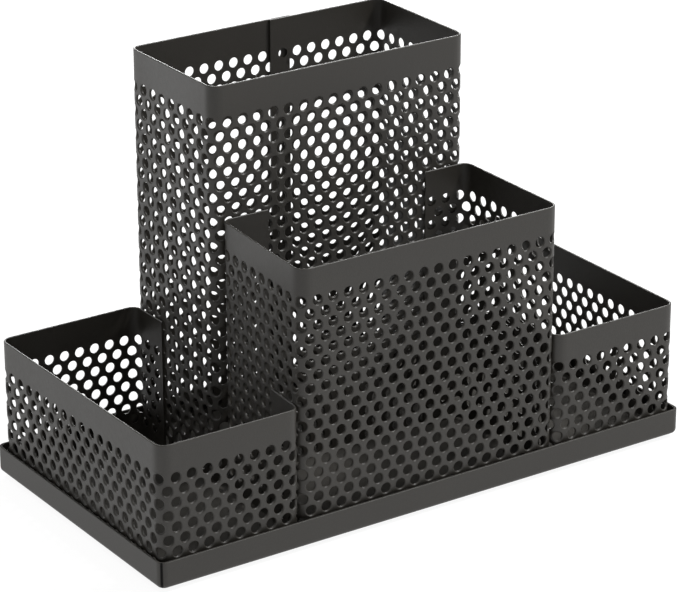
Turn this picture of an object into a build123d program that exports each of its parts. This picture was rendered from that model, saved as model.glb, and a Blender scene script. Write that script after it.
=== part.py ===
"""Desk organizer: four open-topped cups of perforated sheet steel, standing in a shallow tray.

A tall cup stands at the back, a middle cup in front of it, and a low bin on either side of the
two. Each cup is one strip of sheet, perforated all over below a plain band and bent at its
corners. The tall cup's strip closes on itself with a lapped seam; the other three are open
strips whose end flanges lie flat against the cup beside them.

Frame: millimetres, origin on the desk under the middle of the tray, X to the right along the
long front, Y from the front to the back, Z up.
"""

import os
from math import ceil, floor

from build123d import *

# Perforated sheet
sheet = 0.7
bend_radius = 3.5  # outer face of a bend
rim_round = 0.2  # softened top edge
hole_radius = 1.7
column_step = 2.8  # half the pitch along a row, because every second row is shifted by it
row_step = 4.1
lowest_row = 3.0  # no hole's centre comes nearer to a cup's foot
cut_margin = hole_radius + sheet  # nor nearer to a strip's cut end

# Joints between the sheets
flange_width = 17.0
seam_lap = 8.0
seam_gap = 0.05  # two coats of paint between the lapped layers

# Tray and its pads
tray_width = 201.0
tray_depth = 102.8
tray_sheet = 0.8
tray_rim = 9.0
tray_corner = 2.5  # outer, seen from above
tray_bend = 1.6  # outer, along the bottom edges
tray_seam = 0.35  # groove where two sides of the rim are welded at a corner
pad_radius = 6.0
pad_height = 1.2
pad_inset = 15.0  # from the tray's sides to a pad's centre

# Plan of the cups, as the planes of their outer faces
outer_x = 98.7
front_y = -49.4
back_y = 49.4
tall_front_y = 0.0
tall_left_x = -48.0
tall_right_x = 48.0
middle_left_x = -48.8
middle_left_back_x = -45.3  # the middle cup's left wall runs in towards the back
middle_right_x = 49.3
seam_x = 12.4  # right-hand edge of the tall cup's outer lap

# Rims, above the underside of the tray
tall_rim = 135.0
middle_rim = 91.3
bin_rim = 46.4

# Plain bands, from a rim down to the centres of the first row of holes
tall_band = 12.2
middle_band = 10.8
bin_band = 11.3

# From a strip's first cut end, along the strip, to a hole of its first row
tall_lead = 5.0
middle_lead = 7.5
left_lead = 3.5
right_lead = 5.6

floor_top = pad_height + tray_sheet


def moved_in(corners, distance):
    """The corners of the line that runs the given distance to the left of these corners."""
    points = [Vector(corner) for corner in corners]
    runs = [(end - start).normalized() for start, end in zip(points, points[1:])]
    sideways = [Vector(-run.Y, run.X) for run in runs]
    before = [sideways[0]] + sideways
    after = sideways + [sideways[-1]]
    return [
        point + (first + second) * (distance / (1 + first.dot(second)))
        for point, first, second in zip(points, before, after)
    ]


def bent_line(corners, depth):
    """The strip's plan line at a depth below its outer face, with round bends."""
    return FilletPolyline(*moved_in(corners, depth), radius=bend_radius - depth)


def sheet_place(midline, along, height):
    """A location on the strip with Z square to the sheet, pointing out of the cup."""
    point = midline.position_at(along, position_mode=PositionMode.LENGTH)
    tangent = midline.tangent_at(along, position_mode=PositionMode.LENGTH)
    outward = Vector(tangent.Y, -tangent.X, 0)
    return Plane(origin=(point.X, point.Y, height), x_dir=tangent, z_dir=outward).location


def hole_places(midline, first_row, lead):
    """Staggered rows of holes, from the first row down to the foot and from end to end."""
    rows = 1 + floor((first_row - floor_top - lowest_row) / row_step)
    first_column = ceil((cut_margin - lead) / column_step)
    last_column = floor((midline.length - cut_margin - lead) / column_step)
    return [
        sheet_place(midline, lead + column * column_step, first_row - row * row_step)
        for row in range(rows)
        for column in range(first_column, last_column + 1)
        if (row + column) % 2 == 0
    ]


def bent_strip(corners, rim_above_tray, plain_band, lead):
    """One strip of perforated sheet, standing on the tray's floor and bent at every inner corner.

    The corners run anticlockwise seen from above and lie on the strip's outer face.
    """
    rim_height = pad_height + rim_above_tray
    with BuildLine():
        midline = bent_line(corners, sheet / 2)
    with BuildPart() as strip:
        with BuildSketch(Plane.XY.offset(floor_top)):
            with BuildLine():
                outer_face = bent_line(corners, 0)
                inner_face = bent_line(corners, sheet)
                Line(outer_face @ 0, inner_face @ 0)
                Line(outer_face @ 1, inner_face @ 1)
            make_face()
        extrude(amount=rim_height - floor_top)
        fillet(strip.edges().group_by(Axis.Z)[-1], radius=rim_round)
        with Locations(*hole_places(midline, rim_height - plain_band, lead)):
            Cylinder(hole_radius, 3 * sheet, mode=Mode.SUBTRACT)
    return strip


def save(builder, name):
    """Label one sub-part and write it as its own STEP file."""
    builder.part.label = name
    export_step(builder.part, f"parts/{name}.step")


os.makedirs("parts", exist_ok=True)

# Foot pads: four round pads under the tray, one near each corner
with BuildPart() as foot_pads:
    with BuildSketch():
        with GridLocations(tray_width - 2 * pad_inset, tray_depth - 2 * pad_inset, 2, 2):
            Circle(pad_radius)
    extrude(amount=pad_height)
save(foot_pads, "foot_pads")

# Base tray: a shallow pan with an upright rim, its sides welded together at the corners
with BuildPart() as base_tray:
    with BuildSketch(Plane.XY.offset(pad_height)):
        RectangleRounded(tray_width, tray_depth, tray_corner)
    extrude(amount=tray_rim)
    fillet(base_tray.edges().group_by(Axis.Z)[0], radius=tray_bend)
    offset(amount=-tray_sheet, openings=base_tray.faces().sort_by(Axis.Z)[-1])
    fillet(base_tray.edges().group_by(Axis.Z)[-1], radius=rim_round)
    corner_tip = tray_corner * (1 - 0.5**0.5)
    with BuildSketch(Plane.XY.offset(pad_height + tray_bend)):
        with GridLocations(tray_width - 2 * corner_tip, tray_depth - 2 * corner_tip, 2, 2):
            Rectangle(tray_seam, tray_seam, rotation=45)
    extrude(amount=tray_rim, mode=Mode.SUBTRACT)
save(base_tray, "base_tray")

# Tall cup: a closed loop, with the right-hand end of its strip lapped inside the left-hand end
inner_lap_y = back_y - sheet - seam_gap
tall_cup = bent_strip(
    corners=[
        (seam_x, back_y),
        (tall_left_x, back_y),
        (tall_left_x, tall_front_y),
        (tall_right_x, tall_front_y),
        (tall_right_x, inner_lap_y),
        (seam_x - seam_lap, inner_lap_y),
    ],
    rim_above_tray=tall_rim,
    plain_band=tall_band,
    lead=tall_lead,
)
save(tall_cup, "tall_cup")

# Middle cup: three walls, and two flanges on the front of the tall cup
middle_cup = bent_strip(
    corners=[
        (middle_left_back_x + flange_width, tall_front_y),
        (middle_left_back_x, tall_front_y),
        (middle_left_x, front_y),
        (middle_right_x, front_y),
        (middle_right_x, tall_front_y),
        (middle_right_x - flange_width, tall_front_y),
    ],
    rim_above_tray=middle_rim,
    plain_band=middle_band,
    lead=middle_lead,
)
save(middle_cup, "middle_cup")

# Left bin: three walls, a back flange on the tall cup and a front flange on the middle cup
middle_left_wall = Vector(middle_left_back_x - middle_left_x, tall_front_y - front_y)
left_front_corner = Vector(middle_left_x, front_y)
left_bin = bent_strip(
    corners=[
        (tall_left_x, back_y - flange_width),
        (tall_left_x, back_y),
        (-outer_x, back_y),
        (-outer_x, front_y),
        left_front_corner,
        left_front_corner + middle_left_wall.normalized() * flange_width,
    ],
    rim_above_tray=bin_rim,
    plain_band=bin_band,
    lead=left_lead,
)
save(left_bin, "left_bin")

# Right bin: the same, on the other side
right_bin = bent_strip(
    corners=[
        (middle_right_x, front_y + flange_width),
        (middle_right_x, front_y),
        (outer_x, front_y),
        (outer_x, back_y),
        (tall_right_x, back_y),
        (tall_right_x, back_y - flange_width),
    ],
    rim_above_tray=bin_rim,
    plain_band=bin_band,
    lead=right_lead,
)
save(right_bin, "right_bin")
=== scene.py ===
import math

import bpy
import numpy as np
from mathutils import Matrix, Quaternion, Vector


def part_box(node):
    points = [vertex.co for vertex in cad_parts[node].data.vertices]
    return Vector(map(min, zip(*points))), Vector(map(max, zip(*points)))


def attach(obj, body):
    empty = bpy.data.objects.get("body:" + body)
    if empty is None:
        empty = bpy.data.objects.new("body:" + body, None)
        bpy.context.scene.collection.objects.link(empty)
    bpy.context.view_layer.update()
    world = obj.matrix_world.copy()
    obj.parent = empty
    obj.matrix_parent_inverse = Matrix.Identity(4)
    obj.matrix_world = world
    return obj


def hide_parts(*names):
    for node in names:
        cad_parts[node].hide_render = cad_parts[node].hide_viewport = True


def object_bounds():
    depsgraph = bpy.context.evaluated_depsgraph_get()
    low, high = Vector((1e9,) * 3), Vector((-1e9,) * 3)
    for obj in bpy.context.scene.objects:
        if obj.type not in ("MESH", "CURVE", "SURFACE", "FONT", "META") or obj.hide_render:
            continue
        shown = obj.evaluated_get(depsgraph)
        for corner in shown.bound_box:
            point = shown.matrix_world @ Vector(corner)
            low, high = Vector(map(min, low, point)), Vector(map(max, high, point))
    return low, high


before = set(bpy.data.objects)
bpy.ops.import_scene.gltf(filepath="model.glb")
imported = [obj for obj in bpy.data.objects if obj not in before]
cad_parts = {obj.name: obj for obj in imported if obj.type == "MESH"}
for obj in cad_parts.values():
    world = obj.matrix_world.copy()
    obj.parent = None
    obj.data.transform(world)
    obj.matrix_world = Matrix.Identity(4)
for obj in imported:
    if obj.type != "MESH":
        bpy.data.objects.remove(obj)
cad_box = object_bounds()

# The frame's axes: X along the long front, Y to the back, Z up. Sheets are worked out in
# millimetres and the rest of the scene in metres.
mm = 0.001
low, high = cad_box
centre = (low + high) / 2

# Perforated sheet, in millimetres
sheet = 0.7
bend_radius = 3.5  # outer face of a bend
rim_round = 0.28  # on both edges of the rim
hole_radius = 1.7
hole_roll = 0.33  # the punch draws the outer face in round every hole, over this width
hole_roll_depth = 0.30
roll_shape = ((1, 0), (0.86, 0.06), (0.12, 0.82), (0, 1))  # shares of both, from the outer face in
hole_sides = 24  # a multiple of the 12 points round a hole's cell
hard_edge = 60.0  # degrees; edges between faces that meet at more than this stay sharp
column_step = 2.8  # half the pitch along a row
row_step = 4.1
lowest_row = 3.0  # no hole's centre comes nearer to a cup's foot
cut_margin = hole_radius + sheet  # nor nearer to a strip's cut end
flange_width = 17.0
seam_x = 12.4  # right-hand edge of the tall cup's outer lap
seam_lap = 8.0
seam_gap = 0.05
middle_left_x = -48.8
middle_left_back_x = -45.3

# Camera: angles in degrees, seen from above. Azimuth 0 looks along +Y, and less is more from the left.
camera_azimuth = -34.0
camera_elevation = 22.4
camera_roll = -0.13
camera_distance = 1.016
camera_lens = 167.7
camera_sensor = 36.0
camera_aim = centre + Vector((-0.003, -0.003, -0.010))

# Plain band above the first row of holes, and the way along the strip to a hole of that row
bands_and_leads = {
    "tall_cup": (12.2, 5.0),
    "middle_cup": (10.8, 7.5),
    "left_bin": (11.3, 3.5),
    "right_bin": (11.3, 5.6),
}

# Powder coat on the steel. Sizes and depths are in metres, and a pair is the least and the most
# that the noise multiplies the tone or the roughness by.
coat_colour = (0.0222, 0.0198, 0.0160)
coat_roughness = 0.45
grain_size = 0.0004  # the fine powder texture
grain_depth = 0.00002
grain_tone = (0.88, 1.12)
peel_size = 0.0016  # the orange peel under it
peel_depth = 0.00002
peel_roughness = (0.96, 1.04)
cloud_size = 0.030  # the slow drift over a wall
cloud_detail = 3.0
cloud_tone = (0.93, 1.07)
cloud_roughness = (0.95, 1.05)

# The same coat on the tray
tray_roughness = 0.50
tray_floor_roughness = 0.95  # dust and wear dull the floor inside the cups
steep_normal = 0.85  # a face whose normal has less than this along Z is not floor
tray_corner = 0.0025  # outer radius
painted_streak_half_width = 0.0003  # of the painted dark reflection down each corner
# tone that the painted dark reflection at each corner puts on the coat
painted_streak_tone = 0.1

# Rubber of the pads, with the least and the most of its tone and roughness
pad_colour = (0.02, 0.02, 0.02)
pad_tone = (0.8, 1.2)
pad_roughness = (0.7, 0.9)
pad_grain_depth = 0.00004

# Floor and light
floor_size = 6.0
floor_drop = 0.00005  # below the pads, so that the faces do not lie in one plane
floor_tone = 0.12
floor_roughness = 0.9
floor_glow = 0.92  # bright enough that the shadow stays faint
sky_strength = 0.46


def strip_corners():
    """Plan corners of each cup's strip on its outer face, anticlockwise, in millimetres."""
    boxes = {node: [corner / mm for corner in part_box(node)] for node in bands_and_leads}
    tall, tall_far = boxes["tall_cup"]
    middle, middle_far = boxes["middle_cup"]
    left, left_far = boxes["left_bin"]
    right, right_far = boxes["right_bin"]
    inner_lap_y = tall_far.y - sheet - seam_gap
    front_corner = Vector((middle_left_x, middle.y))
    lean = Vector((middle_left_back_x - middle_left_x, tall.y - middle.y)).normalized()
    return {
        "tall_cup": [
            (seam_x, tall_far.y),
            (tall.x, tall_far.y),
            (tall.x, tall.y),
            (tall_far.x, tall.y),
            (tall_far.x, inner_lap_y),
            (seam_x - seam_lap, inner_lap_y),
        ],
        "middle_cup": [
            (middle_left_back_x + flange_width, tall.y),
            (middle_left_back_x, tall.y),
            front_corner,
            (middle_far.x, middle.y),
            (middle_far.x, tall.y),
            (middle_far.x - flange_width, tall.y),
        ],
        "left_bin": [
            (tall.x, left_far.y - flange_width),
            (tall.x, left_far.y),
            (left.x, left_far.y),
            (left.x, left.y),
            front_corner,
            front_corner + lean * flange_width,
        ],
        "right_bin": [
            (middle_far.x, right.y + flange_width),
            (middle_far.x, right.y),
            (right_far.x, right.y),
            (right_far.x, right_far.y),
            (tall_far.x, right_far.y),
            (tall_far.x, right_far.y - flange_width),
        ],
    }


def moved_in(corners, distance):
    """The corners of the line that runs the given distance to the left of these corners."""
    points = [Vector(corner) for corner in corners]
    runs = [(end - start).normalized() for start, end in zip(points, points[1:])]
    sideways = [Vector((-run.y, run.x)) for run in runs]
    before = [sideways[0]] + sideways
    after = sideways + [sideways[-1]]
    return [
        point + (first + second) * (distance / (1 + first.dot(second)))
        for point, first, second in zip(points, before, after)
    ]


def heading_vector(heading):
    """The unit vector in plan along a heading in radians."""
    return Vector((math.cos(heading), math.sin(heading)))


def strip_runs(corners):
    """The strip's midline as rows of length, start x, start y, heading and curvature."""
    points = moved_in(corners, sheet / 2)
    radius = bend_radius - sheet / 2
    steps = [end - start for start, end in zip(points, points[1:])]
    headings = [math.atan2(step.y, step.x) for step in steps]
    runs = []
    here = points[0]
    for corner, heading, next_heading in zip(points[1:], headings, headings[1:]):
        turn = (next_heading - heading) % math.tau
        cut = radius * math.tan(turn / 2)
        bend = corner - heading_vector(heading) * cut
        runs.append(((bend - here).length, *here, heading, 0.0))
        runs.append((radius * turn, *bend, heading, 1 / radius))
        here = corner + heading_vector(next_heading) * cut
    runs.append(((points[-1] - here).length, *here, headings[-1], 0.0))
    return np.array(runs)


def bent(runs, flat):
    """Carries points from (along, height, depth under the outer face) to the bent strip."""
    along, height, depth = np.array(flat).T
    ends = np.cumsum(runs[:, 0])
    which = np.minimum(np.searchsorted(ends, along), len(runs) - 1)
    length, start_x, start_y, heading, curvature = runs[which].T
    past = along - ends[which] + length
    straight = curvature == 0
    radius = 1 / np.where(straight, 1, curvature)
    angle = heading + curvature * past
    ahead_x = np.where(straight, past * np.cos(heading), (np.sin(angle) - np.sin(heading)) * radius)
    ahead_y = np.where(straight, past * np.sin(heading), (np.cos(heading) - np.cos(angle)) * radius)
    out = sheet / 2 - depth
    x = start_x + ahead_x + np.sin(angle) * out
    y = start_y + ahead_y - np.cos(angle) * out
    return np.column_stack([x, y, height])


class FlatSheet:
    """Faces of a strip before it is bent. A point is (along, height, depth) and is made once."""

    def __init__(self):
        self.index = {}
        self.points = []
        self.faces = []

    def point(self, along, height, depth):
        """The number of the point at this place, which is new or already there."""
        key = (round(along, 4), round(height, 4), round(depth, 4))
        if key not in self.index:
            self.index[key] = len(self.points)
            self.points.append((along, height, depth))
        return self.index[key]

    def face(self, *corners):
        """One face, with its corners anticlockwise as seen from outside the metal."""
        self.faces.append([self.point(*corner) for corner in corners])

    def band(self, columns, section):
        """Quads along the strip between neighbouring columns, for a line of (height, depth)."""
        for near, far in zip(columns, columns[1:]):
            for start, end in zip(section, section[1:]):
                self.face((near, *start), (far, *start), (far, *end), (near, *end))

    def hole(self, along, height, length):
        """One punched hole and its cell of the sheet, cut short where the strip ends."""
        beside = [min(max(along + step * column_step / 2, 0), length) for step in range(-2, 3)]
        above = height + row_step / 2
        below = height - row_step / 2
        border = [(beside[4], height)]
        border += [(place, above) for place in reversed(beside)]
        border += [(beside[0], height)]
        border += [(place, below) for place in beside]
        rings = [ring_around(along, height, *size) for size in hole_profile()]
        for first, second in zip(rings, rings[1:]):
            for k in range(hole_sides):
                self.face(first[k - 1], first[k], second[k], second[k - 1])
        outer, inner = rings[0], rings[-1]
        step = hole_sides // len(border)
        for k in range(len(border)):
            edge = [border[k], border[(k + 1) % len(border)]]
            arc = [(k * step + turn) % hole_sides for turn in range(step, -1, -1)]
            self.face(*[(*corner, 0.0) for corner in edge], *[outer[j] for j in arc])
            self.face(*[inner[j] for j in reversed(arc)], *[(*corner, sheet) for corner in reversed(edge)])

    def row(self, places, height, columns):
        """A hole at each place, and plain sheet before the first cell and after the last."""
        for place in places:
            self.hole(place, height, columns[-1])
        reach = 0.75 * column_step  # a little short of the cell's side, which is a column as well
        before = [column for column in columns if column < places[0] - reach]
        after = [column for column in columns if column > places[-1] + reach]
        levels = [height + row_step / 2, height, height - row_step / 2]
        for top, bottom in zip(levels, levels[1:]):
            for plain in (before, after):
                self.band(plain, [(bottom, 0.0), (top, 0.0)])
                self.band(plain, [(top, sheet), (bottom, sheet)])

    def cut_end(self, along, heights, rim_line, order):
        """The cut edge at one end of the strip. The order is 1 at its start and -1 at its end."""
        for bottom, top in zip(heights, heights[1:]):
            cut = [(bottom, 0.0), (top, 0.0), (top, sheet), (bottom, sheet)]
            self.face(*[(along, *corner) for corner in cut[::order]])
        self.face(*[(along, *corner) for corner in rim_line[::order]])


def ring_around(along, height, radius, depth):
    """Points round a hole, anticlockwise seen from outside."""
    turns = [math.tau * k / hole_sides for k in range(hole_sides)]
    return [(along + radius * math.cos(turn), height + radius * math.sin(turn), depth) for turn in turns]


def hole_profile():
    """Radius and depth from the outer face, down the rolled edge and through to the inner face."""
    rolled = [(hole_radius + hole_roll * out, hole_roll_depth * down) for out, down in roll_shape]
    return rolled + [(hole_radius, sheet)]


def rim_section(rim, start):
    """Height and depth up the outer face, over the rounded rim and down the inner face."""
    turns = [math.radians(angle) for angle in (0, 30, 60, 90)]
    outer = [
        (rim - rim_round * (1 - math.sin(turn)), rim_round * (1 - math.cos(turn))) for turn in turns
    ]
    inner = [(height, sheet - depth) for height, depth in reversed(outer)]
    return [(start, 0.0)] + outer + inner + [(start, sheet)]


def flat_strip(node, length):
    """The strip of one cup before it is bent: staggered rows of holes under a plain band."""
    plain_band, lead = bands_and_leads[node]
    foot, rim = [corner.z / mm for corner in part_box(node)]
    first_row = rim - plain_band
    rows = 1 + math.floor((first_row - foot - lowest_row) / row_step)
    levels = [first_row + (1 - k) * row_step / 2 for k in range(2 * rows + 1)]
    half = column_step / 2
    inside = [lead + half * k for k in range(-math.ceil(lead / half), math.ceil(length / half))]
    columns = [0.0] + [place for place in inside if 0 < place < length] + [length]
    first_column = math.ceil((cut_margin - lead) / column_step)
    last_column = math.floor((length - cut_margin - lead) / column_step)

    flat = FlatSheet()
    for row in range(rows):
        staggered = [
            lead + column * column_step
            for column in range(first_column, last_column + 1)
            if (row + column) % 2 == 0
        ]
        flat.row(staggered, first_row - row * row_step, columns)
    rim_line = rim_section(rim, levels[0])
    foot_line = [(levels[-1], sheet), (foot, sheet), (foot, 0.0), (levels[-1], 0.0)]
    flat.band(columns, rim_line)
    flat.band(columns, foot_line)
    heights = [foot] + levels[::-1]
    flat.cut_end(0.0, heights, rim_line, 1)
    flat.cut_end(length, heights, rim_line, -1)
    return flat


def perforated_strip(node, corners, material):
    """The whole perforated strip of one cup as a single closed mesh."""
    runs = strip_runs(corners)
    flat = flat_strip(node, runs[:, 0].sum())
    mesh = bpy.data.meshes.new(f"{node}_sheet")
    mesh.from_pydata(bent(runs, flat.points) * mm, [], flat.faces)
    mesh.shade_smooth()
    mesh.set_sharp_from_angle(angle=math.radians(hard_edge))
    mesh.materials.append(material)
    piece = bpy.data.objects.new(f"{node}_sheet", mesh)
    bpy.context.scene.collection.objects.link(piece)
    even = piece.modifiers.new("even_shading", "WEIGHTED_NORMAL")
    even.keep_sharp = True
    even.weight = 100  # the large flat faces lead
    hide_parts(node)
    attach(piece, "root")


def new_material(name):
    """An empty node material, its Principled shader and its node tree."""
    material = bpy.data.materials.new(name)
    material.use_nodes = True
    tree = material.node_tree
    shader = next(node for node in tree.nodes if node.type == "BSDF_PRINCIPLED")
    return material, shader, tree


def object_point(tree):
    """The point's place on the object itself, in metres."""
    return tree.nodes.new("ShaderNodeTexCoord").outputs["Object"]


def noise(tree, point, size, detail=2.0):
    """Noise from 0 to 1 with features of about the given size in metres."""
    node = tree.nodes.new("ShaderNodeTexNoise")
    node.inputs["Scale"].default_value = 1 / size
    node.inputs["Detail"].default_value = detail
    tree.links.new(point, node.inputs["Vector"])
    return node.outputs["Fac"]


def remapped(tree, value, source, target):
    """A value carried from one range to another, and kept inside it."""
    node = tree.nodes.new("ShaderNodeMapRange")
    node.inputs["From Min"].default_value, node.inputs["From Max"].default_value = source
    node.inputs["To Min"].default_value, node.inputs["To Max"].default_value = target
    tree.links.new(value, node.inputs["Value"])
    return node.outputs["Result"]


def spread(tree, value, target):
    """Noise spread over the target range, as nearly all of it lies between 0.3 and 0.7."""
    return remapped(tree, value, (0.3, 0.7), target)


def combined(tree, operation, first, second):
    """Two values combined by one operation."""
    node = tree.nodes.new("ShaderNodeMath")
    node.operation = operation
    tree.links.new(first, node.inputs[0])
    tree.links.new(second, node.inputs[1])
    return node.outputs["Value"]


def vector_math(tree, operation, vector, constant=(0, 0, 0)):
    """One operation on a vector and a constant. DISTANCE gives a value, and the rest a vector."""
    node = tree.nodes.new("ShaderNodeVectorMath")
    node.operation = operation
    node.inputs[1].default_value = constant
    tree.links.new(vector, node.inputs[0])
    return node.outputs["Value" if operation == "DISTANCE" else "Vector"]


def tinted(tree, colour, factor):
    """A colour made lighter or darker by a factor."""
    node = tree.nodes.new("ShaderNodeVectorMath")
    node.operation = "SCALE"
    node.inputs[0].default_value = colour
    tree.links.new(factor, node.inputs["Scale"])
    return node.outputs["Vector"]


def bumps(tree, layers):
    """One normal from several (height, depth in metres) layers."""
    normal = None
    for height, depth in layers:
        node = tree.nodes.new("ShaderNodeBump")
        node.inputs["Distance"].default_value = depth
        tree.links.new(height, node.inputs["Height"])
        if normal:
            tree.links.new(normal, node.inputs["Normal"])
        normal = node.outputs["Normal"]
    return normal


def coat_tone(tree, grain, cloud):
    """The factor that grain and cloud put on the coat's colour."""
    return combined(tree, "MULTIPLY", spread(tree, cloud, cloud_tone), spread(tree, grain, grain_tone))


def powder_coat():
    """Matt charcoal powder coat: fine grain over orange peel, with a slow drift in tone."""
    material, shader, tree = new_material("powder_coat")
    point = object_point(tree)
    grain = noise(tree, point, grain_size)
    peel = noise(tree, point, peel_size)
    cloud = noise(tree, point, cloud_size, cloud_detail)
    colour = tinted(tree, coat_colour, coat_tone(tree, grain, cloud))
    drift = spread(tree, cloud, [coat_roughness * share for share in cloud_roughness])
    roughness = combined(tree, "MULTIPLY", drift, spread(tree, peel, peel_roughness))
    normal = bumps(tree, [(peel, peel_depth), (grain, grain_depth)])
    tree.links.new(colour, shader.inputs["Base Color"])
    tree.links.new(roughness, shader.inputs["Roughness"])
    tree.links.new(normal, shader.inputs["Normal"])
    return material


def facing_up(tree):
    """1 on level faces that look up, and 0 on steep ones."""
    geometry = tree.nodes.new("ShaderNodeNewGeometry")
    normal = tree.nodes.new("ShaderNodeSeparateXYZ")
    tree.links.new(geometry.outputs["Normal"], normal.inputs["Vector"])
    return remapped(tree, normal.outputs["Z"], (steep_normal, 1), (0, 1))


def beside_painted_streak(tree, point):
    """0 on the painted dark reflection line down each corner of the tray, and 1 away from it."""
    corner_tip = tray_corner * (1 - 0.5**0.5)
    streak_line = (high.x - corner_tip, high.y - corner_tip, 0)
    level = vector_math(tree, "MULTIPLY", point, (1, 1, 0))
    one_quarter = vector_math(tree, "ABSOLUTE", level)
    distance = vector_math(tree, "DISTANCE", one_quarter, streak_line)
    return remapped(tree, distance, (painted_streak_half_width, 2 * painted_streak_half_width), (0, 1))


def tray_coat():
    """The same coat on the tray: duller on its floor, and a painted dark reflection down each corner."""
    material, shader, tree = new_material("tray_coat")
    point = object_point(tree)
    grain = noise(tree, point, grain_size)
    cloud = noise(tree, point, cloud_size, cloud_detail)
    beside = beside_painted_streak(tree, point)
    # painted dark reflection: the coat is darker and fully rough on each corner's line
    darkening = remapped(tree, beside, (0, 1), (painted_streak_tone, 1))
    tone = combined(tree, "MULTIPLY", coat_tone(tree, grain, cloud), darkening)
    walls = remapped(tree, beside, (0, 1), (1, tray_roughness))
    floor = remapped(tree, facing_up(tree), (0, 1), (0, tray_floor_roughness))
    roughness = combined(tree, "MAXIMUM", walls, floor)
    tree.links.new(tinted(tree, coat_colour, tone), shader.inputs["Base Color"])
    tree.links.new(roughness, shader.inputs["Roughness"])
    tree.links.new(bumps(tree, [(grain, grain_depth)]), shader.inputs["Normal"])
    return material


def pad_rubber():
    """Matt black rubber with a fine moulded grain."""
    material, shader, tree = new_material("pad_rubber")
    grain = noise(tree, object_point(tree), grain_size)
    colour = tinted(tree, pad_colour, spread(tree, grain, pad_tone))
    tree.links.new(colour, shader.inputs["Base Color"])
    tree.links.new(spread(tree, grain, pad_roughness), shader.inputs["Roughness"])
    tree.links.new(bumps(tree, [(grain, pad_grain_depth)]), shader.inputs["Normal"])
    return material


def repaint(node, material):
    """A CAD node gets this material in place of its own."""
    for slot in node.material_slots:
        slot.material = material


def pale_floor():
    """A large pale floor just under the pads, which glows like a light table."""
    bpy.ops.mesh.primitive_plane_add(size=floor_size, location=(0, 0, low.z - floor_drop))
    floor = bpy.context.object
    floor.name = "floor"
    material, shader, _ = new_material("floor_paper")
    shader.inputs["Base Color"].default_value = (floor_tone, floor_tone, floor_tone, 1)
    shader.inputs["Roughness"].default_value = floor_roughness
    shader.inputs["Emission Color"].default_value = (1, 1, 1, 1)
    shader.inputs["Emission Strength"].default_value = floor_glow
    floor.data.materials.append(material)


def direction(azimuth, elevation):
    """The unit vector from the object to a viewer at these angles in degrees."""
    turn = math.radians(azimuth)
    rise = math.radians(elevation)
    return Vector((math.sin(turn) * math.cos(rise), -math.cos(turn) * math.cos(rise), math.sin(rise)))


def soft_light(name, azimuth, elevation, distance, size, power):
    """A square area light at these angles in degrees, turned to the object's centre."""
    data = bpy.data.lights.new(name, "AREA")
    data.shape = "SQUARE"
    data.size = size
    data.energy = power
    light = bpy.data.objects.new(name, data)
    back = direction(azimuth, elevation)
    light.location = centre + back * distance
    light.rotation_mode = "QUATERNION"
    light.rotation_quaternion = (-back).to_track_quat("-Z", "Y")
    bpy.context.scene.collection.objects.link(light)


def studio():
    """Soft light from all round, and four panels that pick out the rims, bends and holes."""
    world = bpy.data.worlds.new("studio")
    world.use_nodes = True
    background = world.node_tree.nodes["Background"]
    background.inputs["Color"].default_value = (1, 1, 1, 1)
    background.inputs["Strength"].default_value = sky_strength
    bpy.context.scene.world = world
    bpy.context.scene.view_settings.view_transform = "Standard"
    soft_light("left_panel", azimuth=-140, elevation=-4, distance=0.45, size=0.06, power=0.065)
    soft_light("rim_panel", azimuth=148, elevation=22, distance=1.0, size=0.3, power=6)
    soft_light("left_back_panel", azimuth=-170, elevation=38, distance=1.0, size=0.25, power=1.8)
    soft_light("front_panel", azimuth=60, elevation=55, distance=1.0, size=0.16, power=11)


def camera():
    """The camera, from the front and a little to the left, looking down into the cups."""
    data = bpy.data.cameras.new("camera")
    data.lens = camera_lens
    data.sensor_width = camera_sensor
    data.clip_start = 0.05
    lens = bpy.data.objects.new("camera", data)
    back = direction(camera_azimuth, camera_elevation)
    lens.location = camera_aim + back * camera_distance
    lens.rotation_mode = "QUATERNION"
    roll = Quaternion((0, 0, 1), math.radians(camera_roll))
    lens.rotation_quaternion = (-back).to_track_quat("-Z", "Y") @ roll
    bpy.context.scene.collection.objects.link(lens)
    bpy.context.scene.camera = lens


steel = powder_coat()
repaint(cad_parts["base_tray"], tray_coat())
repaint(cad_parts["foot_pads"], pad_rubber())
for name, corners in strip_corners().items():
    perforated_strip(name, corners, steel)
pale_floor()
studio()
camera()
